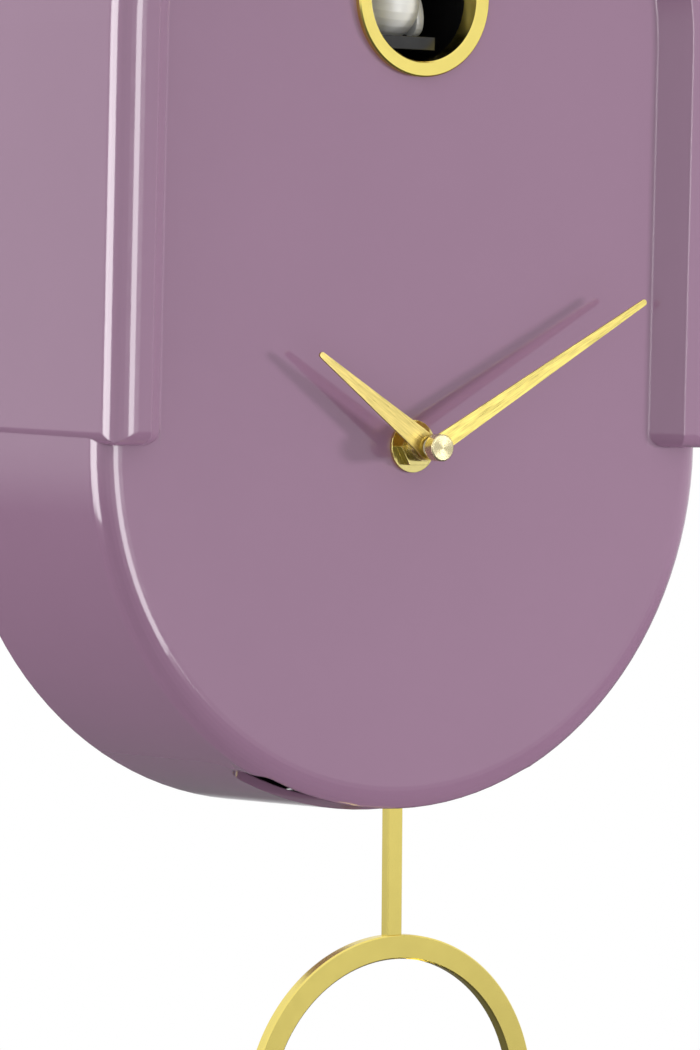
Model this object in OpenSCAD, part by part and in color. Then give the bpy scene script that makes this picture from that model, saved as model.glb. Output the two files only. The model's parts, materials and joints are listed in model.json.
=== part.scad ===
// Wall cuckoo clock with a domed hood, a sliding bird and a ring pendulum.
// Row frame: origin at the hanging keyhole on the rear plane, +Z up, +Y towards the wall.
// Every sub-part is drawn in face terms: Y 0 is the clock face, Z 0 the axis of the hands.

/* [Case] */
// Radius of the rounded lower half of the face
face_r = 99.2; // [95:0.1:105]
// Depth from the clock face to the wall
case_depth = 70; // [68:1:76]
// Height of the hood's arch centre above the axis of the hands
arch_z = 110; // [105:1:118]
// Wall thickness of the mouldings
wall = 2.5; // [2:0.1:3]
// Growth of the side walls' radius from front to back
side_draft = 2.3; // [0:0.1:3]

/* [Hood] */
// How far the hood stands out of the side walls
hood_overhang = 0.5; // [0.3:0.1:2]
// How far the hood's lip stands in front of the face
hood_proud = 6.9; // [6:0.1:12]
// Width between the hood's legs, at the face
hood_gap = 161; // [155:1:165]
// Sideways flare of each leg's inner wall, from the face to the lip
hood_flare = 7; // [1:0.5:7]

/* [Hands] */
// Length of the minute hand from its axis
minute_len = 80.8; // [70:0.1:82]
// Length of the hour hand from its axis
hour_len = 43.6; // [36:0.1:50]
// Minute hand's angle clockwise from twelve
minute_angle = 60; // [0:1:359]
// Hour hand's angle clockwise from twelve
hour_angle = 304.5; // [0:0.5:359.5]

/* [Pendulum] */
// Outer diameter of the pendulum's ring
ring_od = 93.2; // [85:0.2:98]
// Width of the ring's band
ring_band = 6.6; // [4:0.2:8]
// Height of the ring's centre from the axis of the hands
ring_z = -179.4; // [-184:0.2:-172]
// Thickness of the rod and the ring
rod_t = 2.8; // [2:0.1:3]
// Width of the rod
rod_w = 5; // [4:0.2:6]
// Lean of the pendulum to the right, as caught in its swing
pendulum_lean = 1; // [-3:0.5:3]

/* [Bird] */
// Height of the bird's window above the axis of the hands
window_z = 120.5; // [118:0.5:123]
// Inner diameter of the bezel round the window
bezel_id = 34.4; // [33:0.2:36]
// Outer diameter of the bezel
bezel_od = 42.7; // [41:0.1:45]
// How far the bezel stands in front of the face
bezel_proud = 1.8; // [1:0.1:3]

/* [Hidden] */
$fn = 96;
hang_z = 176;
eps = 0.01;

// Rounding of the front edges of body and hood: inset along the face, depth along the side
edge_inset = 7.2;
edge_depth = 5.2;
hood_inset = 8.2;
hood_edge_depth = 5.6;
edge_steps = 9;
// Difference of the inner surface's rounding from the outer one
edge_less = wall / 2;
// Chamfer along the front edges of bezel, rod and ring
gold_edge = 0.4;
// Rounding at the foot of the legs, and how far off the side it stands to cross it cleanly
leg_round = 4;
crease = 0.08;
// Rounding along the lip's inner edge and in the corner at its base
lip_round = 0.6;
base_fillet = 1;
lip_steps = 3;
// Thickness of the bottom wall of the hood's legs
leg_floor = 2.5;

// Slot in the bottom wall for the pendulum's rod
slot_half = 48;
slot_depth = 14;

// Bosses for the back cover's screws
boss_r = 4.5;
boss_places = [[90, 40], [-90, 40], [62, 178], [-62, 178], [68, -56], [-68, -56]];
screw_r = 1.5;
pilot_r = 1.2;

// Back cover
cover_y0 = case_depth - 4;
cover_y1 = case_depth - 1.5;
cover_gap = 0.3;
knob_hole_r = 20;
knob_hole_z = -5;

// Hanging keyhole in its steel plate
keyhole_r = 4.5;
keyhole_slot_r = 2.25;
keyhole_rise = 9;
hanger_w = 30;
hanger_h = 38;

// Battery bay: three AA cells one above another
bay_half = 29;
bay_z0 = -86;
bay_z1 = -36;
bay_y0 = case_depth - 22;
bay_wall = 1.5;
cell_r = 7.25;
cell_len = 50.5;
cell_y = case_depth - 12.4;
cell_z = [-46, -61, -76];
contact_t = 0.6;

// Movement case
mov_half = 28;
mov_y0 = wall + 1.5;
mov_split = mov_y0 + 7.5;
mov_y1 = mov_y0 + 15;
mov_wall = 1.4;

// Motion works: pinion and wheel teeth of one module share one centre distance
gear_m = 0.5;
cannon_teeth = 10;
minute_teeth = 30;
minute_pinion_teeth = 8;
hour_teeth = 32;
knob_ribs = 26;
knob_r = 7;
works_gap = gear_m * (cannon_teeth + minute_teeth) / 2;
minute_axis_z = -works_gap;

// Hand stack, measured forward from the face
washer_r = 7.1;
washer_t = 1;
nut_flats = 10;
nut_t = 2.6;
bush_r = 3.9;
bush_bore = 2.56;
bush_front = -6.7;
hour_tube_r = 2.5;
hour_tube_bore = 1.56;
hour_tube_front = -8.9;
hour_hand_y = -8.4;
collar_r = 3;
hand_t = 0.6;
arbor_r = 1.5;
arbor_front = -13.4;
minute_hand_y = -11.1;
cap_r = 3.6;
cap_edge = 0.35;
cap_front = -14.8;
cap_back = -11.3;

// Pendulum drive: pivot, hanger and coil box
pivot_z = -38;
pivot_r = 1.2;
pivot_bore = 1.25;
rod_y0 = 5;
hanger_y0 = rod_y0 + rod_t + 0.3;
hanger_t = 1.4;
drive_y0 = 10.4;
drive_y1 = 24;
drive_half = 17;
drive_z0 = -76;
drive_z1 = -33;
magnet_z = -66;
magnet_r = 4;

// Bird mechanism
travel = 24;
chamber_half = 21;
chamber_z0 = window_z - 20;
chamber_z1 = window_z + 24;
chamber_y0 = 5;
chamber_y1 = 59;
chamber_wall = 1.6;
flange_half = 27;
deck_z1 = window_z - 10.2;
deck_t = 3.5;
deck_half = 9;
deck_y0 = 6;
deck_y1 = 54;
sled_half = 13;
sled_y0 = 35;
rack_m = 1;
rack_pitch_z = window_z - 23;
rack_half = 2.5;
rack_y0 = 33;
rack_y1 = 58.5;
pinion_teeth = 10;
pinion_y = 34;
pinion_z = rack_pitch_z - rack_m * pinion_teeth / 2;
wheel_teeth = 30;
motor_teeth = 10;
motor_y = pinion_y + gear_m * (wheel_teeth + motor_teeth) / 2;
axle_r = 1.5;
axle_bore = 1.55;
motor_r = 7.75;
motor_x0 = 14;
motor_x1 = 38;
motor_shaft_r = 0.9;
bird_y = 17;

// Sound unit
board_x0 = 32;
board_x1 = 80;
board_z0 = 20;
board_z1 = 62;
board_y0 = case_depth - 15;
board_t = 1.6;
board_posts = [[35.5, 23.5], [76.5, 23.5], [35.5, 58.5], [76.5, 58.5]];
slider_x = 46;
slider_z = 50;
slider_travel = 4;
button_x = 64;
button_z = 50;
speaker_x = -56;
speaker_z = 60;
speaker_r = 24;
speaker_y0 = case_depth - 17;

// ---- placing and sweeping helpers ----

// Moves a piece from face terms to the row frame
module on_face() {
    translate([0, -case_depth, -hang_z]) children();
}

// Extrudes a flat shape, drawn as (X, Z), from depth y0 to depth y1
module slab(y0, y1) {
    translate([0, y1, 0]) rotate([90, 0, 0]) linear_extrude(y1 - y0) children();
}

// Cylinder along the depth axis
module post(r, y0, y1, x = 0, z = 0) {
    translate([x, y1, z]) rotate([90, 0, 0]) cylinder(r = r, h = y1 - y0);
}

// Cone along the depth axis, with its first radius at the front
module cone(r0, r1, y0, y1, x = 0, z = 0) {
    translate([x, y1, z]) rotate([90, 0, 0]) cylinder(r1 = r1, r2 = r0, h = y1 - y0);
}

// Cylinder along the depth axis with its front edge chamfered
module chamfered_post(r, c, y0, y1, x = 0, z = 0) {
    cone(r - c, r, y0, y0 + c, x, z);
    post(r, y0 + c, y1, x, z);
}

// Bore with its mouth at the front chamfered
module chamfered_bore(r, c, y0, y1, x = 0, z = 0) {
    cone(r + c + eps, r, y0 - eps, y0 + c, x, z);
    post(r, y0 - 1, y1, x, z);
}

// Cylinder along X
module bar_x(r, x0, x1, y, z) {
    translate([x0, y, z]) rotate([0, 90, 0]) cylinder(r = r, h = x1 - x0);
}

// Box from one corner to the other
module block(low, high) {
    translate(low) cube(high - low);
}

// Half section of a domed solid as (radius, depth): flat front, rounded edge, drafted side
function half_section(r, y0, y1, inset, depth, draft) = concat(
    [[0, y0]],
    [for (i = [0:edge_steps]) let (t = 90 * i / edge_steps)
        [r - inset + inset * sin(t), y0 + depth * (1 - cos(t))]],
    [[r + draft, y1], [0, y1]]
);

// The other half of a section, so that a straight stretch has both sides
function both_sides(half) = concat(
    half,
    [for (i = [len(half) - 2:-1:1]) [-half[i][0], half[i][1]]]
);

// Half turn of a section about the depth axis, below or above height z
module half_turn(section, z, upper) {
    translate([0, 0, z]) rotate([-90, 0, 0]) rotate([0, 0, upper ? 180 : 0])
        rotate_extrude(angle = 180) polygon(section);
}

// Straight stretch of a section between two heights
module straight(points, z0, z1) {
    translate([0, 0, z0]) linear_extrude(z1 - z0) polygon(points);
}

// Tall solid with a round bottom and an arched top
module capsule_solid(section) {
    half_turn(section, 0, false);
    straight(both_sides(section), 0, arch_z);
    half_turn(section, arch_z, true);
}

// Arched solid with a flat bottom at height z0
module arch_solid(section, z0) {
    straight(both_sides(section), z0, arch_z);
    half_turn(section, arch_z, true);
}

// Row of points round a gear, straight-sided teeth with relieved tips
function gear_points(teeth, m, phase) = [
    for (i = [0:teeth - 1])
        for (p = [[-0.62, -1.2], [-0.40, 0], [-0.19, 0.85], [0.19, 0.85], [0.40, 0], [0.62, -1.2]])
            let (r = m * (teeth / 2 + p[1]), a = phase + (i + p[0] / 2) * 360 / teeth)
                [r * cos(a), r * sin(a)]
];

// Screw with a pan head, pointing forward from its head
module screw(x, z, head_y, shank_end, r, head_r, head_t) {
    difference() {
        union() {
            post(head_r, head_y, head_y + head_t, x, z);
            post(r, shank_end, head_y + eps, x, z);
        }
        block([x - head_r * 0.6, head_y + head_t * 0.5, z - 0.3],
            [x + head_r * 0.6, head_y + head_t + 1, z + 0.3]);
        block([x - 0.3, head_y + head_t * 0.5, z - head_r * 0.6],
            [x + 0.3, head_y + head_t + 1, z + head_r * 0.6]);
    }
}

// ---- case ----

module case_outside() {
    capsule_solid(half_section(face_r, 0, case_depth, edge_inset, edge_depth, side_draft));
    difference() {
        arch_solid(half_section(face_r + hood_overhang, -hood_proud, case_depth,
            hood_inset, hood_edge_depth, side_draft), 0);
        hood_recess();
        leg_rounding();
    }
}

// Space in front of the face, between the legs and under the arch of the hood:
// a fillet at the face, a leaning wall and a rounded edge at the lip
module hood_recess() {
    front = hood_proud + 1;
    half = hood_gap / 2;
    lean = atan(hood_flare / hood_proud);
    run = lip_round * tan((90 - lean) / 2);
    arch_solid(concat(
        [[0, -front], [half + hood_flare + run, -front]],
        [for (i = [0:lip_steps]) let (t = (90 - lean) * i / lip_steps)
            [half + hood_flare + run - lip_round * sin(t), -hood_proud + lip_round * (1 - cos(t))]],
        [for (i = [0:lip_steps]) let (t = (90 - lean) * (1 - i / lip_steps))
            [half - base_fillet * tan((90 - lean) / 2) + base_fillet * sin(t), -base_fillet * (1 - cos(t))]],
        [[0, 0]]
    ), -1);
}

// Hollow behind the hood's lip
module lip_hollow() {
    front = wall - hood_proud;
    section = half_section(face_r + hood_overhang - wall, front, wall + 1,
        hood_inset - edge_less, hood_edge_depth - edge_less, 0);
    inner = hood_gap / 2 + wall;
    ring = concat(
        [[inner, wall + 1], [inner + hood_flare, front]],
        [for (i = [1:len(section) - 2]) section[i]]
    );
    straight(ring, leg_floor, arch_z);
    mirror([1, 0, 0]) straight(ring, leg_floor, arch_z);
    half_turn(ring, arch_z, true);
}

module case_inside() {
    capsule_solid(half_section(face_r - wall, wall, case_depth + 1,
        edge_inset - edge_less, edge_depth - edge_less, side_draft));
    arch_solid([[0, wall], [face_r + hood_overhang - wall, wall],
        [face_r + hood_overhang - wall + side_draft, case_depth + 1], [0, case_depth + 1]],
        leg_floor);
    lip_hollow();
}

// Slot with round ends in the bottom wall
module pendulum_slot() {
    r = slot_depth / 2;
    translate([0, wall + r, -face_r - 5]) linear_extrude(45) union() {
        square([2 * (slot_half - r), slot_depth], center = true);
        for (s = [-1, 1]) translate([s * (slot_half - r), 0]) circle(r);
    }
}

// Rounding cutter for a corner at the origin: solid lies towards +X and +Z, length along Y
module corner_cut(y0, y1) {
    slab(y0, y1) difference() {
        translate([-3, -3]) square([leg_round + 3, leg_round + 3]);
        translate([leg_round, leg_round]) circle(leg_round);
        translate([leg_round, leg_round - 3]) square([3, 6]);
        translate([leg_round - 3, leg_round]) square([6, 3]);
    }
}

// Rounding of the underside of the hood's legs: outer side, inner side and front
module leg_rounding() {
    lean = atan(hood_flare / hood_proud);
    side_y0 = hood_edge_depth - hood_proud;
    for (s = [0, 1]) mirror([s, 0, 0]) {
        translate([face_r + hood_overhang + crease, side_y0, 0])
            rotate([0, 0, -atan(side_draft / (case_depth - side_y0))])
                mirror([1, 0, 0]) corner_cut(-hood_proud - 1, case_depth + 5);
        translate([hood_gap / 2, 0, 0]) rotate([0, 0, lean]) corner_cut(-hood_proud - 3, 0);
    }
    translate([0, -hood_proud, 0]) rotate([0, 0, 90]) corner_cut(-face_r - 10, face_r + 10);
}

module front_case() on_face() color([0.58, 0.46, 0.55]) {
    difference() {
        case_outside();
        case_inside();
        pendulum_slot();
        post(bezel_id / 2 + 1.2, -1, wall + 1, 0, window_z);
        post(bush_r + 0.3, -1, wall + 1);
    }
    for (p = boss_places) difference() {
        post(boss_r, p[1] > 0 ? wall - hood_proud - 0.3 : wall - 0.3, cover_y0, p[0], p[1]);
        post(pilot_r, cover_y0 - 14, cover_y0 + 1, p[0], p[1]);
    }
    for (x = [-1, 1], z = [-1, 1]) difference() {
        post(3.2, wall - eps, chamber_y0, x * 24, window_z + z * 24);
        post(pilot_r, wall + 0.5, chamber_y0 + 1, x * 24, window_z + z * 24);
    }
    for (x = [-1, 1]) difference() {
        post(3.2, wall - eps, drive_y0, x * 22, -55);
        post(pilot_r, wall + 1, drive_y0 + 1, x * 22, -55);
    }
}

module cover_outline() {
    r = face_r - wall + side_draft * 0.95 - cover_gap;
    circle(r);
    translate([-r, 0]) square([2 * r, arch_z]);
    translate([-r - hood_overhang, leg_floor + cover_gap])
        square([2 * (r + hood_overhang), arch_z - leg_floor - cover_gap]);
    translate([0, arch_z]) circle(r + hood_overhang);
}

module back_cover() on_face() color([0.16, 0.15, 0.17]) difference() {
    union() {
        slab(cover_y0, cover_y1) cover_outline();
        for (p = board_posts) post(2.6, board_y0 + board_t, cover_y0 + eps, p[0], p[1]);
    }
    for (p = boss_places) post(screw_r + 0.2, cover_y0 - 1, cover_y1 + 1, p[0], p[1]);
    for (p = board_posts) post(1, board_y0, cover_y1 - 1, p[0], p[1]);
    block([-bay_half - 0.3, cover_y0 - 1, bay_z0 - 0.3], [bay_half + 0.3, cover_y1 + 1, bay_z1 + 0.3]);
    post(knob_hole_r, cover_y0 - 1, cover_y1 + 1, 0, knob_hole_z);
    post(10, cover_y0 - 1, cover_y1 + 1, 0, hang_z + 3);
    for (s = [-1, 1]) post(0.9, cover_y0 - 1, cover_y1 + 1, s * 12, hang_z - 11);
    block([slider_x - 3 - 0.4, cover_y0 - 1, slider_z - 2.4],
        [slider_x + 3 + slider_travel + 0.4, cover_y1 + 1, slider_z + 2.4]);
    post(3.3, cover_y0 - 1, cover_y1 + 1, button_x, button_z);
    for (i = [-3:3]) let (h = sqrt(19 * 19 - 25 * i * i))
        block([speaker_x - h, cover_y0 - 1, speaker_z + 5 * i - 1],
            [speaker_x + h, cover_y1 + 1, speaker_z + 5 * i + 1]);
}

module back_screws() on_face() color("silver")
    for (p = boss_places) screw(p[0], p[1], cover_y1, cover_y0 - 12, pilot_r, 2.9, 1.4);

module hanger_plate() on_face() color("lightgray") slab(cover_y1, case_depth) difference() {
    translate([-hanger_w / 2, hang_z - hanger_h / 2]) square([hanger_w, hanger_h]);
    translate([0, hang_z]) circle(keyhole_r);
    translate([-keyhole_slot_r, hang_z]) square([2 * keyhole_slot_r, keyhole_rise]);
    translate([0, hang_z + keyhole_rise]) circle(keyhole_slot_r);
    for (s = [-1, 1]) translate([s * 12, hang_z - 11]) circle(1.1);
}

module hanger_screws() on_face() color("silver")
    for (s = [-1, 1]) screw(s * 12, hang_z - 11, case_depth, cover_y0 - 2, 0.9, 2.1, 0.9);

module wall_pads() on_face() color([0.1, 0.1, 0.1])
    for (s = [-1, 1]) post(6, cover_y1, case_depth, s * 62, -34);

// ---- battery bay ----

module battery_box() on_face() color([0.12, 0.12, 0.13]) difference() {
    block([-bay_half, bay_y0, bay_z0], [bay_half, cover_y0, bay_z1]);
    block([-bay_half + bay_wall, bay_y0 + bay_wall, bay_z0 + bay_wall],
        [bay_half - bay_wall, cover_y0 + 1, bay_z1 - bay_wall]);
}

module battery_door() on_face() color([0.18, 0.17, 0.19]) difference() {
    union() {
        block([-bay_half, cover_y0 + 0.1, bay_z0], [bay_half, cover_y1, bay_z1]);
        for (s = [-1, 1])
            block([s * 14 - 4, cover_y0 - 2.5, bay_z0 + bay_wall + 0.3],
                [s * 14 + 4, cover_y0 + 0.2, bay_z0 + bay_wall + 1.5]);
        block([-6, cover_y0 - 3, bay_z1 - bay_wall - 1.5], [6, cover_y0 + 0.2, bay_z1 - bay_wall - 0.3]);
    }
    for (i = [-2:2]) block([-8, cover_y1 - 0.8, bay_z1 - 12 + 2.4 * i - 0.5],
        [8, cover_y1 + 1, bay_z1 - 12 + 2.4 * i + 0.5]);
}

// One AA cell along +X, its button end at x1
module cell(x1) {
    bar_x(cell_r, x1 - cell_len, x1 - 1, 0, 0);
    bar_x(2.7, x1 - 1 - eps, x1, 0, 0);
}

// Cells lie one above another, every other one turned round
module batteries() on_face() color([0.75, 0.55, 0.2]) for (i = [0:2])
    translate([0, cell_y, cell_z[i]]) mirror([i % 2, 0, 0]) cell(bay_half - bay_wall - contact_t - 0.1);

// Spring contacts, one at each cell's flat end
module battery_springs() on_face() color("silver") for (i = [0:2])
    translate([0, cell_y, cell_z[i]]) mirror([i % 2, 0, 0])
        translate([contact_t + bay_wall - bay_half, 0, 0]) rotate([0, 90, 0])
            cylinder(r1 = 4.6, r2 = 2.6, h = 2 * (bay_half - bay_wall - contact_t) - 0.1 - cell_len);

module battery_contacts() on_face() color("silver") for (s = [-1, 1], z = cell_z)
    translate([s * (bay_half - bay_wall - contact_t / 2), cell_y, z])
        cube([contact_t, 10, 11], center = true);

// ---- bird ----

module bird_bezel() on_face() color([0.82, 0.73, 0.42]) difference() {
    union() {
        chamfered_post(bezel_od / 2, gold_edge, -bezel_proud, 0, 0, window_z);
        post(bezel_id / 2 + 1.1, -eps, wall + 1.8, 0, window_z);
    }
    chamfered_bore(bezel_id / 2, gold_edge, -bezel_proud, wall + 3, 0, window_z);
}

module bird_chamber() on_face() color([0.05, 0.05, 0.05]) difference() {
    union() {
        block([-chamber_half, chamber_y0, chamber_z0], [chamber_half, chamber_y1, chamber_z1]);
        block([-flange_half, chamber_y0, window_z - 28], [flange_half, chamber_y0 + 2, window_z + 28]);
        for (x = [-8, 10.5]) block([x, pinion_y - 5, pinion_z - 4], [x + 2, pinion_y + 5, chamber_z0 + 0.5]);
        block([motor_x0, motor_y - 6, chamber_z0 - 3], [motor_x1 - 4, motor_y + 6, chamber_z0 + 0.5]);
    }
    block([-chamber_half + chamber_wall, chamber_y0 - 1, chamber_z0 + chamber_wall],
        [chamber_half - chamber_wall, chamber_y1 - chamber_wall, chamber_z1 - chamber_wall]);
    block([-rack_half - 0.8, 8, chamber_z0 - 1], [rack_half + 0.8, chamber_y1 + 1, chamber_z0 + chamber_wall + 1]);
    bar_x(axle_bore, -9, 14, pinion_y, pinion_z);
    bar_x(motor_r, motor_x0 - 2, motor_x1, motor_y, pinion_z);
    for (x = [-1, 1], z = [-1, 1]) post(screw_r, chamber_y0 - 1, chamber_y0 + 3, x * 24, window_z + z * 24);
}

module chamber_screws() on_face() color("silver") for (x = [-1, 1], z = [-1, 1])
    screw(x * 24, window_z + z * 24, chamber_y0 + 2, wall + 0.8, pilot_r, 2.6, 1.3);

module bird_carriage() on_face() color([0.14, 0.14, 0.15]) {
    block([-deck_half, deck_y0, deck_z1 - deck_t], [deck_half, deck_y1, deck_z1]);
    block([-5, sled_y0 + 2, chamber_z0 + 1.8], [5, deck_y1 - 2, deck_z1 - 1]);
    block([-sled_half, sled_y0, chamber_z0 + chamber_wall + 0.1],
        [sled_half, deck_y1, chamber_z0 + chamber_wall + 2.4]);
}

// Toothed rack under the carriage
module carriage_rack() on_face() color([0.9, 0.88, 0.8]) {
    pitch = PI * rack_m;
    back = rack_pitch_z + 1.2 * rack_m;
    block([-rack_half, rack_y0, back], [rack_half, rack_y1, chamber_z0 + chamber_wall + 0.1]);
    for (i = [0:floor((rack_y1 - pinion_y) / pitch)]) translate([-rack_half, pinion_y + i * pitch, 0])
        rotate([90, 0, 90]) linear_extrude(2 * rack_half)
            polygon([[-0.62 * pitch / 2, back + eps], [-0.19 * pitch / 2, rack_pitch_z - 0.85 * rack_m],
                [0.19 * pitch / 2, rack_pitch_z - 0.85 * rack_m], [0.62 * pitch / 2, back + eps]]);
}

// Pinion under the rack, with the motor's wheel beside it
module bird_pinion() on_face() color([0.9, 0.88, 0.8]) difference() {
    translate([0, pinion_y, pinion_z]) rotate([90, 0, 90]) union() {
        translate([0, 0, -rack_half]) linear_extrude(2 * rack_half)
            polygon(gear_points(pinion_teeth, rack_m, 90 + 180 / pinion_teeth));
        translate([0, 0, rack_half - eps]) cylinder(r = 3, h = 2.6);
        translate([0, 0, rack_half + 2.5]) linear_extrude(2)
            polygon(gear_points(wheel_teeth, gear_m, 180 / wheel_teeth));
    }
    bar_x(axle_r, -9, 14, pinion_y, pinion_z);
}

module pinion_axle() on_face() color("silver") bar_x(axle_r, -8.4, 13, pinion_y, pinion_z);

module bird_motor() on_face() color([0.7, 0.7, 0.72]) difference() {
    union() {
        bar_x(motor_r, motor_x0, motor_x1, motor_y, pinion_z);
        bar_x(3, motor_x0 - 1.4, motor_x0 + eps, motor_y, pinion_z);
    }
    bar_x(motor_shaft_r + 0.05, motor_x0 - 2, motor_x0 + 6, motor_y, pinion_z);
}

module motor_pinion() on_face() color([0.85, 0.7, 0.35]) {
    translate([rack_half + 2, motor_y, pinion_z]) rotate([90, 0, 90]) linear_extrude(3)
        polygon(gear_points(motor_teeth, gear_m, 180));
    bar_x(motor_shaft_r, rack_half + 2, motor_x0 + 5, motor_y, pinion_z);
}

// Bird: egg-shaped body and head turned about upright axes
module egg(r, up, down) {
    steps = 14;
    rotate_extrude() polygon(concat(
        [[0, -down]],
        [for (i = [1:steps - 1]) let (t = -90 + 180 * i / steps) [r * cos(t), (t < 0 ? down : up) * sin(t)]],
        [[0, up]]
    ));
}

// Body, head and tail in one form, also cut from the pieces that sit on it
module bird_form() {
    translate([0, bird_y, deck_z1 + 8.6]) intersection() {
        rotate([14, 0, 0]) egg(9.2, 10, 9.6);
        block([-12, -14, -8.6], [12, 14, 14]);
    }
    translate([0, bird_y - 3.4, deck_z1 + 18]) sphere(5.4);
    translate([0, bird_y + 6, deck_z1 + 4.5]) rotate([-58, 0, 0]) intersection() {
        egg(4.2, 12, 4);
        block([-5, -1.6, -5], [5, 1.6, 13]);
    }
}

module bird_body() on_face() color([0.9, 0.9, 0.88]) bird_form();

module bird_wings() on_face() color([0.82, 0.82, 0.8]) difference() {
    for (s = [-1, 1])
        translate([s * 8, bird_y + 1.6, deck_z1 + 9]) rotate([-28, 0, s * 6]) intersection() {
            egg(5, 6, 9.5);
            block([-1.2, -6, -10], [1.2, 6, 7]);
        }
    bird_form();
}

module bird_beak() on_face() color([0.85, 0.6, 0.2]) difference() {
    translate([0, bird_y - 8.2, deck_z1 + 17.6]) rotate([90, 0, 0]) cylinder(r1 = 1.7, r2 = 0.25, h = 4.2);
    bird_form();
}

module bird_eyes() on_face() color([0.02, 0.02, 0.02]) difference() {
    for (s = [-1, 1]) translate([s * 3.9, bird_y - 6.2, deck_z1 + 19.8]) sphere(1.1);
    bird_form();
}

// ---- movement and hands ----

module movement_outline(inset) {
    h = mov_half - inset;
    c = 5 - inset;
    polygon([[-h + c, -h], [h - c, -h], [h, -h + c], [h, h - c],
        [h - c, h], [-h + c, h], [-h, h - c], [-h, -h + c]]);
}

module movement_front() on_face() color([0.1, 0.1, 0.11]) difference() {
    slab(mov_y0, mov_split) movement_outline(0);
    slab(mov_y0 + mov_wall, mov_split + 1) movement_outline(mov_wall);
    post(bush_r - 0.4, mov_y0 - 1, mov_y0 + 3);
}

module movement_back() on_face() color([0.14, 0.14, 0.15]) difference() {
    union() {
        difference() {
            slab(mov_split, mov_y1) movement_outline(0);
            slab(mov_split - 1, mov_y1 - mov_wall) movement_outline(mov_wall);
        }
        post(3.2, mov_y1 - 5, mov_y1, 0, minute_axis_z);
    }
    post(1.55, mov_y1 - 6, mov_y1 + 1, 0, minute_axis_z);
}

// Threaded sleeve that the nut clamps; the thread's grooves are plain rings
module centre_bushing() on_face() color([0.8, 0.7, 0.4]) difference() {
    union() {
        post(bush_r - 0.4, bush_front, mov_y0 + mov_wall + 0.6);
        for (i = [0:9]) post(bush_r, bush_front + 0.35 + i * 0.75, bush_front + 0.75 + i * 0.75);
        post(bush_r, bush_front + 7.9, mov_y0);
    }
    post(bush_bore, bush_front - 1, mov_y0 + 4);
}

module rubber_washer() on_face() color([0.05, 0.05, 0.05]) difference() {
    post(9, wall, mov_y0);
    post(bush_r + 0.1, wall - 1, mov_y0 + 1);
}

module brass_washer() on_face() color([0.82, 0.73, 0.42]) difference() {
    post(washer_r, -washer_t, 0);
    post(bush_r + 0.1, -washer_t - 1, 1);
}

module hex_nut() on_face() color([0.82, 0.73, 0.42]) difference() {
    translate([0, -washer_t, 0]) rotate([90, 0, 0])
        cylinder(r = nut_flats / 2 / cos(30), h = nut_t, $fn = 6);
    post(bush_r, -washer_t - nut_t - 1, 1);
}

// Wheel and tube that carry the hour hand
module hour_wheel() on_face() color([0.85, 0.82, 0.7]) difference() {
    union() {
        slab(mov_y0 + 2.2, mov_y0 + 3.6) polygon(gear_points(hour_teeth, gear_m, -90 + 180 / hour_teeth));
        post(hour_tube_r, hour_tube_front, mov_y0 + 3);
    }
    post(hour_tube_bore, hour_tube_front - 1, mov_y0 + 6);
}

// Flat hand drawn upright: round hub, straight taper, round tip
module hand_outline(len, hub_r, root_w, tip_w) {
    difference() {
        union() {
            circle(hub_r);
            polygon([[-root_w / 2, 0], [root_w / 2, 0], [tip_w / 2, len - tip_w / 2], [-tip_w / 2, len - tip_w / 2]]);
            translate([0, len - tip_w / 2]) circle(tip_w / 2);
        }
        children();
    }
}

module hour_hand() on_face() color([0.85, 0.76, 0.42]) rotate([0, hour_angle, 0]) difference() {
    union() {
        slab(hour_hand_y, hour_hand_y + hand_t) hand_outline(hour_len, 3.6, 6.6, 1.6);
        post(collar_r, hour_tube_front, bush_front - 0.2);
    }
    post(hour_tube_r, hour_tube_front - 1, hour_hand_y + 4);
}

// Cannon pinion and the arbor that carries the minute hand
module minute_arbor() on_face() color([0.8, 0.7, 0.4]) {
    post(arbor_r, arbor_front, mov_y0 + 5);
    slab(mov_y0 + 4.2, mov_y0 + 6) polygon(gear_points(cannon_teeth, gear_m, -90));
}

module minute_hand() on_face() color([0.85, 0.76, 0.42]) rotate([0, minute_angle, 0])
    slab(minute_hand_y, minute_hand_y + hand_t) hand_outline(minute_len, 3.1, 5.2, 1.7) circle(arbor_r);

module hand_cap() on_face() color([0.88, 0.82, 0.6]) difference() {
    chamfered_post(cap_r, cap_edge, cap_front, cap_back);
    post(arbor_r, arbor_front, cap_back + 1);
}

// Intermediate wheel of the motion works, on the stem of the setting knob
module minute_wheel() on_face() color([0.85, 0.82, 0.7]) {
    translate([0, 0, minute_axis_z]) {
        slab(mov_y0 + 2, mov_y0 + 4.2) polygon(gear_points(minute_pinion_teeth, gear_m, 90));
        slab(mov_y0 + 4.4, mov_y0 + 5.8) polygon(gear_points(minute_teeth, gear_m, 90 + 180 / minute_teeth));
        post(1, mov_y0 + mov_wall + 0.2, mov_y0 + 4.4);
        post(1.5, mov_y0 + 4.2, mov_y1 + 2);
    }
}

module time_knob() on_face() color([0.2, 0.2, 0.2]) difference() {
    translate([0, 0, minute_axis_z])
        slab(mov_y1 + 0.6, mov_y1 + 6) polygon(gear_points(knob_ribs, 2 * knob_r / knob_ribs, 0));
    post(1.5, mov_y1, mov_y1 + 2, 0, minute_axis_z);
}

// Stepping motor inside the movement
module coil_bobbin() on_face() color([0.9, 0.9, 0.9]) difference() {
    union() {
        bar_x(2.6, -10, 10, mov_y0 + 8, 18);
        for (x = [-11, 10]) bar_x(4.6, x, x + 1, mov_y0 + 8, 18);
    }
    block([-12, mov_y0 + 7.4, 17], [12, mov_y0 + 8.6, 19]);
}

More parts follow.
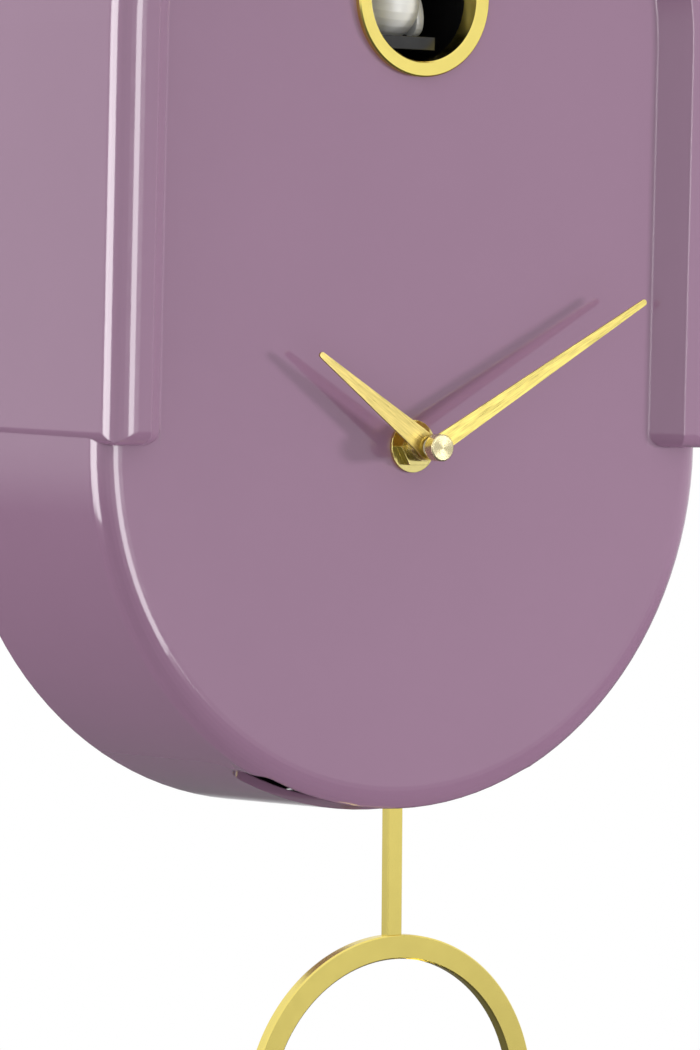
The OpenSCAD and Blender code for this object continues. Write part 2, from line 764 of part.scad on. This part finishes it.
module coil_winding() on_face() color([0.7, 0.35, 0.15]) difference() {
    bar_x(4.2, -10, 10, mov_y0 + 8, 18);
    bar_x(2.6, -11, 11, mov_y0 + 8, 18);
}

module stator() on_face() color([0.6, 0.6, 0.6]) difference() {
    union() {
        block([-16, mov_y0 + 7.4, 17], [16, mov_y0 + 8.6, 19]);
        for (s = [-1, 1]) block([s * 15 - 2, mov_y0 + 7.4, 4], [s * 15 + 2, mov_y0 + 8.6, 19]);
        block([-16, mov_y0 + 7.4, 4], [16, mov_y0 + 8.6, 11]);
    }
    post(3, mov_y0 + 7, mov_y0 + 9, 12, 7.5);
}

module rotor() on_face() color([0.3, 0.3, 0.32]) {
    post(2.4, mov_y0 + 7, mov_y0 + 9, 12, 7.5);
    post(0.6, mov_y0 + 5.4, mov_y0 + 11.4, 12, 7.5);
}

// ---- pendulum ----

// Turns the hanging pieces about the pivot to the pendulum's lean
module lean_right() {
    translate([0, 0, pivot_z]) rotate([0, -pendulum_lean, 0]) translate([0, 0, -pivot_z]) children();
}

module pendulum_drive() on_face() color([0.12, 0.12, 0.13]) difference() {
    union() {
        block([-drive_half, drive_y0, drive_z0], [drive_half, drive_y1, drive_z1]);
        block([-26, drive_y0, -60], [26, drive_y0 + 2, -50]);
    }
    block([-drive_half + 1.5, drive_y0 + 1.5, drive_z0 + 1.5], [drive_half - 1.5, drive_y1 - 1.5, pivot_z - 4]);
    post(pivot_r, drive_y0 - 1, drive_y1 - 3, 0, pivot_z);
    for (s = [-1, 1]) post(screw_r, drive_y0 - 1, drive_y0 + 3, s * 22, -55);
}

module drive_coil() on_face() color([0.7, 0.35, 0.15]) difference() {
    post(8, drive_y0 + 1.5, drive_y0 + 8, 0, magnet_z + 2);
    post(3, drive_y0 + 1, drive_y0 + 9, 0, magnet_z + 2);
}

module drive_screws() on_face() color("silver") for (s = [-1, 1])
    screw(s * 22, -55, drive_y0 + 2, wall + 1.5, pilot_r, 2.6, 1.3);

module pivot_pin() on_face() color("silver") {
    post(pivot_r, rod_y0 + rod_t + 0.2, drive_y1 - 4, 0, pivot_z);
    post(2, rod_y0 + rod_t - 0.9, rod_y0 + rod_t + 0.2 + eps, 0, pivot_z);
}

// Lever that swings on the pivot pin; its peg carries the rod
module pendulum_hanger() on_face() color([0.15, 0.15, 0.16]) lean_right() difference() {
    union() {
        slab(hanger_y0, hanger_y0 + hanger_t) union() {
            translate([0, pivot_z]) circle(4);
            translate([-3, magnet_z]) square([6, pivot_z - magnet_z]);
            translate([0, magnet_z]) circle(magnet_r + 1.4);
        }
        post(1, rod_y0, hanger_y0 + eps, 0, pivot_z - 10);
    }
    post(pivot_bore, hanger_y0 - 1, hanger_y0 + 3, 0, pivot_z);
    post(magnet_r, hanger_y0 - 1, hanger_y0 + 3, 0, magnet_z);
}

module pendulum_magnet() on_face() color([0.65, 0.65, 0.68]) lean_right()
    post(magnet_r, hanger_y0, hanger_y0 + hanger_t + 0.3, 0, magnet_z);

module pendulum_rod() on_face() color([0.85, 0.78, 0.45]) lean_right() difference() {
    half = rod_w / 2;
    back = rod_y0 + rod_t;
    translate([0, 0, ring_z]) linear_extrude(pivot_z - 6 - ring_z) polygon([
        [-half, back], [-half, rod_y0 + gold_edge], [gold_edge - half, rod_y0],
        [half - gold_edge, rod_y0], [half, rod_y0 + gold_edge], [half, back]
    ]);
    post(ring_od / 2, rod_y0 - 1, back + 1, 0, ring_z);
    post(1, rod_y0 - 1, back + 1, 0, pivot_z - 10);
}

module pendulum_ring() on_face() color([0.85, 0.78, 0.45]) lean_right() difference() {
    chamfered_post(ring_od / 2, gold_edge, rod_y0 - 0.2, rod_y0 + rod_t, 0, ring_z);
    chamfered_bore(ring_od / 2 - ring_band, gold_edge, rod_y0 - 0.2, rod_y0 + rod_t + 1, 0, ring_z);
}

// ---- sound ----

module speaker_frame() on_face() color([0.25, 0.25, 0.26]) difference() {
    union() {
        post(speaker_r + 2, cover_y0 - 2, cover_y0, speaker_x, speaker_z);
        post(speaker_r - 1, speaker_y0 + 4, cover_y0 - 2 + eps, speaker_x, speaker_z);
    }
    post(speaker_r - 2.5, speaker_y0 + 6, cover_y0 + 1, speaker_x, speaker_z);
    post(9.5, speaker_y0, cover_y0, speaker_x, speaker_z);
}

module speaker_cone() on_face() color([0.08, 0.08, 0.08])
    translate([speaker_x, cover_y0 - 1, speaker_z]) rotate([90, 0, 0]) difference() {
        cylinder(r1 = speaker_r - 3, r2 = 8, h = 6);
        translate([0, 0, -0.8]) cylinder(r1 = speaker_r - 3, r2 = 7.4, h = 6);
    }

module speaker_magnet() on_face() color([0.5, 0.5, 0.52])
    post(9.4, speaker_y0 - 2, speaker_y0 + 5, speaker_x, speaker_z);

module sound_board() on_face() color([0.1, 0.4, 0.2]) slab(board_y0, board_y0 + board_t) difference() {
    translate([board_x0, board_z0]) square([board_x1 - board_x0, board_z1 - board_z0]);
    for (p = board_posts) translate(p) circle(1.1);
}

module board_chips() on_face() color([0.06, 0.06, 0.06]) {
    y = board_y0;
    block([44, y - 2, 30], [56, y, 40]);
    block([62, y - 1.6, 28], [68, y, 34]);
    for (i = [0:2]) post(2.5, y - 6, y, 66, 40 + 6.5 * i);
    for (i = [0:3]) block([40 + 4 * i, y - 0.8, 44], [42 + 4 * i, y, 47]);
}

module board_screws() on_face() color("silver") for (p = board_posts)
    translate([0, 2 * board_y0, 0]) mirror([0, 1, 0])
        screw(p[0], p[1], board_y0, board_y0 - board_t - 5, 0.95, 2, 1);

module volume_switch() on_face() color([0.75, 0.75, 0.76]) difference() {
    block([slider_x - 6, board_y0 + board_t, slider_z - 3.5],
        [slider_x + 6 + slider_travel, board_y0 + board_t + 5, slider_z + 3.5]);
    block([slider_x - 2.2, board_y0 + board_t + 1, slider_z - 1.7],
        [slider_x + 2.2 + slider_travel, board_y0 + board_t + 6, slider_z + 1.7]);
}

module volume_slider() on_face() color([0.9, 0.9, 0.9]) {
    block([slider_x - 2, board_y0 + board_t + 1.2, slider_z - 1.5],
        [slider_x + 2, cover_y1 - 1, slider_z + 1.5]);
    block([slider_x - 2.8, cover_y1 - 1 - eps, slider_z - 2], [slider_x + 2.8, cover_y1 + 0.6, slider_z + 2]);
}

module button_switch() on_face() color([0.2, 0.2, 0.21]) difference() {
    block([button_x - 4, board_y0 + board_t, button_z - 4], [button_x + 4, board_y0 + board_t + 4, button_z + 4]);
    post(2, board_y0 + board_t + 0.6, board_y0 + board_t + 5, button_x, button_z);
}

module test_button() on_face() color([0.85, 0.2, 0.2]) {
    post(1.9, board_y0 + board_t + 2, cover_y0 - 1, button_x, button_z);
    post(3, cover_y0 - 1 - eps, cover_y1 + 0.8, button_x, button_z);
}

front_case();
back_cover();
back_screws();
hanger_plate();
hanger_screws();
wall_pads();
battery_box();
battery_door();
batteries();
battery_springs();
battery_contacts();
bird_bezel();
bird_chamber();
chamber_screws();
bird_carriage();
carriage_rack();
bird_body();
bird_wings();
bird_beak();
bird_eyes();
bird_pinion();
pinion_axle();
bird_motor();
motor_pinion();
movement_front();
movement_back();
centre_bushing();
rubber_washer();
brass_washer();
hex_nut();
hour_wheel();
hour_hand();
minute_arbor();
minute_hand();
hand_cap();
minute_wheel();
time_knob();
coil_bobbin();
coil_winding();
stator();
rotor();
pendulum_drive();
drive_coil();
drive_screws();
pivot_pin();
pendulum_hanger();
pendulum_magnet();
pendulum_rod();
pendulum_ring();
speaker_frame();
speaker_cone();
speaker_magnet();
sound_board();
board_chips();
board_screws();
volume_switch();
volume_slider();
button_switch();
test_button();
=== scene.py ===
"""Looks of the wall cuckoo clock: studio, camera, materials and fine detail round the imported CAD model."""

import json
import math

import bmesh
import bpy
from mathutils import Matrix, Vector


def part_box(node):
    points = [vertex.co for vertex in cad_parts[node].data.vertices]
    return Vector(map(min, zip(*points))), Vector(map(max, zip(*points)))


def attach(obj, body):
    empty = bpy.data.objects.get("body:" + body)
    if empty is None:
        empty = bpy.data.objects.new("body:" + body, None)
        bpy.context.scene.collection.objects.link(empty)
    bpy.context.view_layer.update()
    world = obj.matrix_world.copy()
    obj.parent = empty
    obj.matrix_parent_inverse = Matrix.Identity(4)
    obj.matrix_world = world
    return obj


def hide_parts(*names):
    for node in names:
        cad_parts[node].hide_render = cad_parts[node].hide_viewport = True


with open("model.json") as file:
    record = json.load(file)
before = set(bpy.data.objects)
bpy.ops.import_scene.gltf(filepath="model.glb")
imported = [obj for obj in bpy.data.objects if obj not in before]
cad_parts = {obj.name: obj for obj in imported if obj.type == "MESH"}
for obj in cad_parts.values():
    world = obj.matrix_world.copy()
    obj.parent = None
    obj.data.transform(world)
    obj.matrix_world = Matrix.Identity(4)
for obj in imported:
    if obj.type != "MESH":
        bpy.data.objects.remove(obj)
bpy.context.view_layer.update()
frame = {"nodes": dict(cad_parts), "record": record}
nodes = frame["nodes"]
scene = bpy.context.scene

MM = 0.001
washer_low, washer_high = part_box("brass_washer")
# Centre of the hands on the clock face: the washer's back lies on the face
FACE = Vector(((washer_low.x + washer_high.x) / 2, washer_high.y, (washer_low.z + washer_high.z) / 2))


def at(x, y, z):
    """A point given in millimetres from the centre of the face."""
    return FACE + Vector((x, y, z)) * MM


# ---- camera ----


CAMERA_AZIMUTH, CAMERA_ELEVATION, CAMERA_ROLL = (math.radians(a) for a in (34.59, 2.32, 1.26))
CAMERA_DISTANCE = 1.5077
CAMERA_LENS = 193.26
SENSOR_WIDTH = 36
LOOKED_AT = at(-19.53, 0, -21.17)


def make_camera():
    """Looks at the clock from its left and slightly above."""
    azimuth, elevation, roll = CAMERA_AZIMUTH, CAMERA_ELEVATION, CAMERA_ROLL
    back = Vector((
        -math.sin(azimuth) * math.cos(elevation),
        -math.cos(azimuth) * math.cos(elevation),
        math.sin(elevation),
    ))
    right = (-back).cross(Vector((0, 0, 1))).normalized()
    up = right.cross(-back)
    right, up = (
        math.cos(roll) * right + math.sin(roll) * up,
        -math.sin(roll) * right + math.cos(roll) * up,
    )
    data = bpy.data.cameras.new("camera")
    data.sensor_width = SENSOR_WIDTH
    data.lens = CAMERA_LENS
    data.clip_start, data.clip_end = 0.05, 50
    camera = bpy.data.objects.new("camera", data)
    place = LOOKED_AT + back * CAMERA_DISTANCE
    turn = Matrix((right, up, back)).transposed().to_4x4()
    camera.matrix_world = Matrix.Translation(place) @ turn
    scene.collection.objects.link(camera)
    scene.camera = camera


# ---- studio ----


# Name, azimuth, elevation, distance, width, height, radiance, and the kind of surface that it lights.
# Angles are in degrees and sizes in metres. Azimuth is to the right of the face's normal.
SOFTBOXES = (
    ("key", 53, 2, 1.5, 0.15, 0.15, 165.0, "diffuse"),
    ("fill_left", -95, 25, 1.5, 1.0, 1.0, 2.8, "diffuse"),
    ("strip_far", -88, 4, 1.5, 1.1, 1.3, 8.0, "glossy"),
    ("strip_near", 9, 8, 1.6, 0.72, 1.5, 6.5, "glossy"),
)
# Grey levels of the room from straight down, 0, to straight up, 1
ROOM_FOR_DIFFUSE = ((0, 0.28), (1, 1.01))
ROOM_FOR_GLOSS = ((0, 0.08), (0.38, 0.16), (0.465, 0.86), (1, 1.0))
FLOOR_Z = -0.95
FLOOR_SIZE = 4


def softbox(name, azimuth, elevation, distance, width, height, radiance, lights):
    """Area light that faces the clock; radiance is what a mirror shows."""
    a, e = math.radians(azimuth), math.radians(elevation)
    away = Vector((math.sin(a) * math.cos(e), -math.cos(a) * math.cos(e), math.sin(e)))
    data = bpy.data.lights.new(name, "AREA")
    data.shape = "RECTANGLE"
    data.size, data.size_y = width, height
    data.energy = radiance * math.pi * width * height
    light = bpy.data.objects.new(name, data)
    turn = away.to_track_quat("Z", "Y").to_matrix().to_4x4()
    light.matrix_world = Matrix.Translation(FACE + away * distance) @ turn
    light.visible_diffuse = lights == "diffuse"
    light.visible_glossy = lights == "glossy"
    scene.collection.objects.link(light)


def make_world():
    """White to the camera; a room darker low down lights the object, and gloss sees paler walls."""
    world = bpy.data.worlds.new("studio")
    scene.world = world
    world.use_nodes = True
    tree = world.node_tree
    tree.nodes.clear()
    path = tree.nodes.new("ShaderNodeLightPath")
    height = tree.nodes.new("ShaderNodeSeparateXYZ")
    tree.links.new(tree.nodes.new("ShaderNodeTexCoord").outputs["Generated"], height.inputs[0])
    spread = tree.nodes.new("ShaderNodeMapRange")
    spread.inputs["From Min"].default_value = -1
    tree.links.new(height.outputs["Z"], spread.inputs["Value"])

    def room(stops):
        ramp = tree.nodes.new("ShaderNodeValToRGB")
        elements = ramp.color_ramp.elements
        for position, _ in stops[1:-1]:
            elements.new(position)
        for element, (position, level) in zip(elements, stops):
            element.position = position
            element.color = (level, level, level * 1.01, 1)
        tree.links.new(spread.outputs[0], ramp.inputs[0])
        light = tree.nodes.new("ShaderNodeBackground")
        tree.links.new(ramp.outputs[0], light.inputs["Color"])
        return light

    def choose(test, no, yes):
        mix = tree.nodes.new("ShaderNodeMixShader")
        tree.links.new(path.outputs[test], mix.inputs[0])
        tree.links.new(no.outputs[0], mix.inputs[1])
        tree.links.new(yes.outputs[0], mix.inputs[2])
        return mix

    seen = tree.nodes.new("ShaderNodeBackground")
    seen.inputs["Color"].default_value = (1, 1, 1, 1)
    lighting = choose("Is Glossy Ray", room(ROOM_FOR_DIFFUSE), room(ROOM_FOR_GLOSS))
    out = tree.nodes.new("ShaderNodeOutputWorld")
    tree.links.new(choose("Is Camera Ray", lighting, seen).outputs[0], out.inputs["Surface"])


def make_studio():
    make_world()
    for box in SOFTBOXES:
        softbox(*box)
    bpy.ops.mesh.primitive_grid_add(
        x_subdivisions=8, y_subdivisions=8, size=FLOOR_SIZE, location=(0, 0, FLOOR_Z)
    )
    floor = bpy.context.object
    floor.name = "floor"
    floor.visible_glossy = False
    floor.data.materials.append(material("floor_white", (0.8, 0.8, 0.8), rough=(0.5, 0.6, 40)))
    scene.view_settings.view_transform = "Standard"
    scene.view_settings.look = "None"


# ---- materials ----


class Shader:
    """A Principled material and short ways of adding nodes to it."""

    def __init__(self, name, colour, metallic=0.0):
        self.mat = bpy.data.materials.new(name)
        self.mat.use_nodes = True
        self.tree = self.mat.node_tree
        self.bsdf = self.tree.nodes["Principled BSDF"]
        self.set(self.bsdf, {"Base Color": (*colour, 1), "Metallic": metallic})
        self.place = self.add("ShaderNodeTexCoord").outputs["Object"]

    def set(self, node, inputs):
        for key, value in inputs.items():
            if isinstance(value, bpy.types.NodeSocket):
                self.tree.links.new(value, node.inputs[key])
            else:
                node.inputs[key].default_value = value

    def add(self, kind, inputs=None, **settings):
        node = self.tree.nodes.new(kind)
        for key, value in settings.items():
            setattr(node, key, value)
        self.set(node, inputs or {})
        return node

    def stretched(self, scale, turn=(0, 0, 0), centre=(0, 0, 0)):
        """Object coordinates about a centre, turned and then scaled."""
        moved = self.add("ShaderNodeVectorMath", {0: self.place, 1: centre}, operation="SUBTRACT").outputs[0]
        turned = self.add(
            "ShaderNodeVectorRotate", {"Vector": moved, "Rotation": turn}, rotation_type="EULER_XYZ"
        ).outputs[0]
        return self.add("ShaderNodeVectorMath", {0: turned, 1: scale}, operation="MULTIPLY").outputs[0]

    def noise(self, scale, detail=2.0, rough=0.5, vector=None):
        return self.add(
            "ShaderNodeTexNoise",
            {"Scale": scale, "Detail": detail, "Roughness": rough, "Vector": vector or self.place},
        ).outputs["Fac"]

    def span(self, value, low, high, start=0.3, end=0.7):
        """Maps a texture's middle range onto low to high."""
        return self.add(
            "ShaderNodeMapRange",
            {"Value": value, "From Min": start, "From Max": end, "To Min": low, "To Max": high},
        ).outputs[0]

    def blend(self, value, low, high, start=0.3, end=0.7):
        """Maps a texture's middle range onto two colours."""
        node = self.add("ShaderNodeValToRGB", {"Fac": value})
        first, last = node.color_ramp.elements
        first.position, first.color = start, (*low, 1)
        last.position, last.color = end, (*high, 1)
        return node.outputs["Color"]

    def rough(self, value, low, high):
        self.set(self.bsdf, {"Roughness": self.span(value, low, high)})

    def bumps(self, layers, edge=0.0):
        """Stacks (height, strength, depth in metres) bumps, over edges rounded to the edge radius."""
        normal = None
        if edge:
            normal = self.add("ShaderNodeBevel", {"Radius": edge}, samples=4).outputs["Normal"]
        for height, strength, depth in layers:
            inputs = {"Height": height, "Strength": strength, "Distance": depth}
            if normal:
                inputs["Normal"] = normal
            normal = self.add("ShaderNodeBump", inputs).outputs["Normal"]
        self.set(self.bsdf, {"Normal": normal})


def tinted(colour, factor):
    return tuple(c * factor for c in colour)


def material(
    name, colour, rough, grain=0.0, grain_scale=1500, vary=0.04, edge=0.0, metallic=0.0, **sockets
):
    """Plain moulded or plated finish: slight colour drift, uneven gloss and a fine surface grain."""
    m = Shader(name, colour, metallic)
    drift = m.noise(45, 3)
    m.set(m.bsdf, {"Base Color": m.blend(drift, tinted(colour, 1 - vary), tinted(colour, 1 + vary))})
    m.rough(m.noise(rough[2], 3), rough[0], rough[1])
    layers = [(m.noise(grain_scale, 2), grain, 0.0001)] if grain else []
    if layers or edge:
        m.bumps(layers, edge)
    for key, value in sockets.items():
        m.bsdf.inputs[key.replace("_", " ").title()].default_value = value
    return m.mat


def lacquer():
    """Deep gloss paint on ABS: faint orange peel under a clear coat."""
    colour = (0.268, 0.147, 0.232)
    m = Shader("lacquer", colour)
    drift = m.noise(18, 4, 0.6)
    m.set(m.bsdf, {"Base Color": m.blend(drift, tinted(colour, 0.985), tinted(colour, 1.015))})
    m.rough(m.noise(260, 4), 0.10, 0.16)
    m.set(m.bsdf, {"Coat Weight": 0.6, "Coat Roughness": 0.04, "IOR": 1.46})
    m.bumps([(m.noise(240, 1), 0.05, 0.0002), (m.noise(1400, 2), 0.02, 0.00005)], 0.0006)
    return m.mat


def satin_gold():
    """Satin gold plating with a very fine tooth."""
    colour = (0.93, 0.77, 0.21)
    m = Shader("gold", colour, 1.0)
    m.set(m.bsdf, {"Base Color": m.blend(m.noise(70, 4), tinted(colour, 0.97), tinted(colour, 1.02))})
    m.rough(m.noise(300, 3), 0.15, 0.19)
    m.bumps([(m.noise(2600, 2), 0.01, 0.00002)])
    return m.mat


def polished_gold():
    """Turned hardware with fine concentric tool marks."""
    colour = (0.84, 0.72, 0.28)
    m = Shader("polished_gold", colour, 1.0)
    marks = turned_marks(m, 2600)
    m.set(m.bsdf, {"Base Color": m.blend(m.noise(400, 3), tinted(colour, 0.94), tinted(colour, 1.04))})
    m.rough(m.noise(900, 3), 0.10, 0.20)
    m.bumps([(marks, 0.25, 0.00003)], 0.0002)
    return m.mat


def turned_marks(m, scale):
    """Fine rings about the axis of the hands, as a lathe leaves them."""
    flat = m.add("ShaderNodeVectorMath", {0: m.place, 1: tuple(FACE)}, operation="SUBTRACT").outputs[0]
    flat = m.add("ShaderNodeVectorMath", {0: flat, 1: (1, 0, 1)}, operation="MULTIPLY").outputs[0]
    radius = m.add("ShaderNodeVectorMath", {0: flat}, operation="LENGTH").outputs["Value"]
    line = m.add("ShaderNodeCombineXYZ", {"X": radius}).outputs[0]
    return m.noise(scale, 4, 0.7, line)


def spun_brass():
    """Pale cap with a spun face, whose rings spread light into a bow tie."""
    colour = (0.80, 0.71, 0.42)
    m = Shader("pale_brass", colour, 1.0)
    m.set(m.bsdf, {"Base Color": m.blend(m.noise(600, 3), tinted(colour, 0.93), tinted(colour, 1.03))})
    m.rough(m.noise(2200, 3), 0.22, 0.34)
    m.set(m.bsdf, {"Anisotropic": 0.75})
    m.set(m.bsdf, {"Tangent": m.add("ShaderNodeTangent", direction_type="RADIAL", axis="Y").outputs[0]})
    m.bumps([(turned_marks(m, 5200), 0.15, 0.00003)], 0.0002)
    return m.mat


def brushed_gold(name, angle, colour):
    """Sheet metal brushed along a hand that points at an angle clockwise from twelve."""
    m = Shader(name, colour, 1.0)
    grain = m.stretched((4200, 4200, 160), (0, math.radians(-angle), 0), tuple(FACE))
    lines = m.noise(1.0, 4, 0.65, grain)
    m.set(m.bsdf, {"Base Color": m.blend(lines, tinted(colour, 0.66), tinted(colour, 1.10))})
    m.rough(lines, 0.26, 0.42)
    m.bumps([(lines, 0.30, 0.00004)])
    return m.mat


def copper_winding():
    """Enamelled wire, seen as fine turns, with painted shade in the grooves between them."""
    colour = (0.62, 0.24, 0.09)
    m = Shader("copper", colour, 1.0)
    wave = m.add(
        "ShaderNodeTexWave", {"Vector": m.place, "Scale": 900, "Distortion": 0.3}, bands_direction="X"
    )
    turns = wave.outputs["Fac"]
    # The turns' colour is darker in the grooves between them, which is painted shade; the bump shapes the
    # same grooves.
    m.set(m.bsdf, {"Base Color": m.blend(turns, tinted(colour, 0.6), tinted(colour, 1.1), 0.1, 0.9)})
    m.rough(m.noise(700, 3), 0.22, 0.35)
    m.bumps([(turns, 0.6, 0.0001)])
    return m.mat


def cell_sleeve():
    """Plain shrink sleeve in two colours, split near the button end."""
    m = Shader("cell_wrap", (0.5, 0.28, 0.05))
    x = m.add("ShaderNodeSeparateXYZ", {0: m.place}).outputs["X"]
    band = m.add("ShaderNodeMath", {0: x, 1: 0.0}, operation="GREATER_THAN").outputs[0]
    tone = m.blend(band, (0.02, 0.02, 0.022), (0.62, 0.30, 0.06), 0.45, 0.55)
    m.set(m.bsdf, {"Base Color": tone})
    m.rough(m.noise(500, 3), 0.18, 0.30)
    m.bumps([(m.noise(300, 2), 0.05, 0.0001)])
    return m.mat


def circuit_board():
    """Solder resist with the tracks showing faintly through it."""
    m = Shader("board_green", (0.03, 0.2, 0.07))
    tracks = m.add("ShaderNodeTexBrick", {
        "Vector": m.place, "Scale": 320.0, "Mortar Size": 0.06, "Color1": (0.02, 0.15, 0.05, 1),
        "Color2": (0.025, 0.19, 0.065, 1), "Mortar": (0.06, 0.30, 0.12, 1),
    })
    m.set(m.bsdf, {"Base Color": tracks.outputs["Color"]})
    m.rough(m.noise(900, 3), 0.25, 0.4)
    m.bumps([(tracks.outputs["Fac"], 0.3, 0.00005)])
    return m.mat


# Arguments of material(); rough is the lowest and highest roughness and the scale of its drift
PLAIN_FINISHES = {
    "black_plastic": dict(
        colour=(0.018, 0.018, 0.02), rough=(0.35, 0.5, 900), grain=0.35, grain_scale=2600, edge=0.0003,
    ),
    "chamber_black": dict(
        colour=(0.012, 0.012, 0.013), rough=(0.12, 0.22, 300), grain=0.05, grain_scale=900, edge=0.0003,
    ),
    "dark_plastic": dict(
        colour=(0.045, 0.045, 0.048), rough=(0.3, 0.42, 700), grain=0.15, grain_scale=2000, edge=0.0003,
    ),
    "steel": dict(
        colour=(0.62, 0.62, 0.64), rough=(0.22, 0.38, 700), grain=0.15, grain_scale=3000,
        vary=0.06, edge=0.0002, metallic=1.0,
    ),
    "foam": dict(colour=(0.03, 0.03, 0.03), rough=(0.85, 0.95, 900), grain=0.9, grain_scale=1400),
    "raw_brass": dict(
        colour=(0.66, 0.55, 0.26), rough=(0.15, 0.3, 900), grain=0.2, grain_scale=2600,
        vary=0.08, edge=0.0001, metallic=1.0,
    ),
    "nylon": dict(
        colour=(0.74, 0.71, 0.60), rough=(0.4, 0.5, 900), grain=0.08, grain_scale=1800, subsurface_weight=0.1,
    ),
    "bird_white": dict(colour=(0.74, 0.74, 0.73), rough=(0.3, 0.42, 500), grain=0.08, grain_scale=1200),
    "beak": dict(colour=(0.70, 0.36, 0.06), rough=(0.3, 0.4, 700), grain=0.1, grain_scale=1500),
    "gloss_black": dict(
        colour=(0.008, 0.008, 0.008), rough=(0.06, 0.14, 500), grain=0.03, grain_scale=900,
    ),
    "rubber": dict(colour=(0.02, 0.02, 0.02), rough=(0.6, 0.8, 900), grain=0.3, grain_scale=2200),
    "paper": dict(
        colour=(0.035, 0.035, 0.036), rough=(0.8, 0.92, 1200), grain=0.8, grain_scale=2600, vary=0.15,
    ),
    "red_plastic": dict(
        colour=(0.55, 0.035, 0.03), rough=(0.22, 0.34, 700), grain=0.08, grain_scale=1500, edge=0.0002,
    ),
}


def make_materials():
    made = {
        "lacquer": lacquer(),
        "gold": satin_gold(),
        "polished_gold": polished_gold(),
        "pale_brass": spun_brass(),
        "cell_wrap": cell_sleeve(),
        "copper": copper_winding(),
        "board_green": circuit_board(),
    }
    for name, finish in PLAIN_FINISHES.items():
        made[name] = material(name, **finish)
    return made


# Where each hand points at rest, in degrees clockwise from twelve
HAND_ANGLES = {"minute_hand": 60.0, "hour_hand": 304.5}
# Tones of the two brushed gold hands. The hour hand's darker tone is painted shade on the same metal.
HAND_TONES = {"minute_hand": (0.86, 0.71, 0.21), "hour_hand": (0.66, 0.53, 0.18)}
# Finer finishes than the record's slots, for the pieces that need them
OWN_FINISH = {
    "hex_nut": "polished_gold",
    "brass_washer": "polished_gold",
    "bird_chamber": "chamber_black",
    "bird_carriage": "chamber_black",
}


def dress_cad(materials):
    """Gives each CAD node the full version of its slot's material."""
    slots = {s["node"]: s["material_slot"] for s in frame["record"]["subparts"]}
    for name, obj in nodes.items():
        if name in HAND_ANGLES:
            mat = brushed_gold("brushed_" + name, HAND_ANGLES[name], HAND_TONES[name])
        else:
            mat = materials[OWN_FINISH.get(name, slots[name])]
        obj.data.materials.clear()
        obj.data.materials.append(mat)


# ---- battery springs ----


SPRING_TURNS = 3.6
# Turns at each end that lie flat, and points along each turn
FLAT_TURNS = 0.8
SPRING_STEPS = 28
WIRE_RADIUS = 0.3 * MM
WIRE_SIDES = 10
# Size of the wire at its cut ends, and radius of a coil at the cell as a share of that at its base
CUT_SHARE = 0.6
TIP_SHARE = 0.5
# A direction that no part of the wire runs along
OFF_WIRE = Vector((0.31, 0.17, 0.93))
# How far round a spring's centre its corners are looked for, in radii
REACH = 1.1


def wire_path(start, end, radius_start, radius_end):
    """Points of a conical coil from start to end, with its first and last turn laid flat."""
    axis = (end - start).normalized()
    across = axis.orthogonal().normalized()
    over = axis.cross(across)
    count = int(SPRING_TURNS * SPRING_STEPS)
    points = []
    for i in range(count + 1):
        turn = SPRING_TURNS * i / count
        rise = min(max((turn - FLAT_TURNS) / (SPRING_TURNS - 2 * FLAT_TURNS), 0.0), 1.0)
        radius = radius_start + (radius_end - radius_start) * rise
        angle = 2 * math.pi * turn
        points.append(start.lerp(end, rise) + (across * math.cos(angle) + over * math.sin(angle)) * radius)
    return points


def add_wire(bm, points):
    """Sweeps a round wire, a little narrowed at its ends, along the points."""
    rings = []
    for i, point in enumerate(points):
        ahead = points[min(i + 1, len(points) - 1)]
        behind = points[max(i - 1, 0)]
        along = (ahead - behind).normalized()
        side = along.cross(OFF_WIRE).normalized()
        top = side.cross(along)
        size = WIRE_RADIUS * (CUT_SHARE if i in (0, len(points) - 1) else 1.0)
        rings.append([
            bm.verts.new(point + (side * math.cos(a) + top * math.sin(a)) * size)
            for a in (2 * math.pi * k / WIRE_SIDES for k in range(WIRE_SIDES))
        ])
    for low, high in zip(rings, rings[1:]):
        for k in range(WIRE_SIDES):
            after = (k + 1) % WIRE_SIDES
            bm.faces.new((low[k], low[after], high[after], high[k]))
    bm.faces.new(reversed(rings[0]))
    bm.faces.new(rings[-1])


def battery_springs(materials):
    """Three conical coil springs in place of the plain cones that stand for them."""
    low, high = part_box("battery_springs")
    corners = [v.co for v in nodes["battery_springs"].data.vertices]
    middle = (low.x + high.x) / 2
    radius = (high.y - low.y) / 2
    bm = bmesh.new()
    for z in (low.z + radius, (low.z + high.z) / 2, high.z - radius):
        near = [c.x for c in corners if abs(c.z - z) < radius * REACH]
        inner, outer = sorted((min(near), max(near)), key=lambda x: abs(x - middle))
        inward = math.copysign(WIRE_RADIUS, inner - outer)
        base = Vector((outer + inward, low.y + radius, z))
        tip = Vector((inner - inward, low.y + radius, z))
        add_wire(bm, wire_path(base, tip, radius - WIRE_RADIUS, radius * TIP_SHARE))
    bmesh.ops.recalc_face_normals(bm, faces=bm.faces)
    mesh = bpy.data.meshes.new("coil_springs")
    bm.to_mesh(mesh)
    bm.free()
    mesh.polygons.foreach_set("use_smooth", [True] * len(mesh.polygons))
    piece = bpy.data.objects.new("coil_springs", mesh)
    scene.collection.objects.link(piece)
    piece.data.materials.append(materials["steel"])
    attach(piece, "case")
    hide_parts("battery_springs")


materials = make_materials()
make_camera()
make_studio()
dress_cad(materials)
battery_springs(materials)
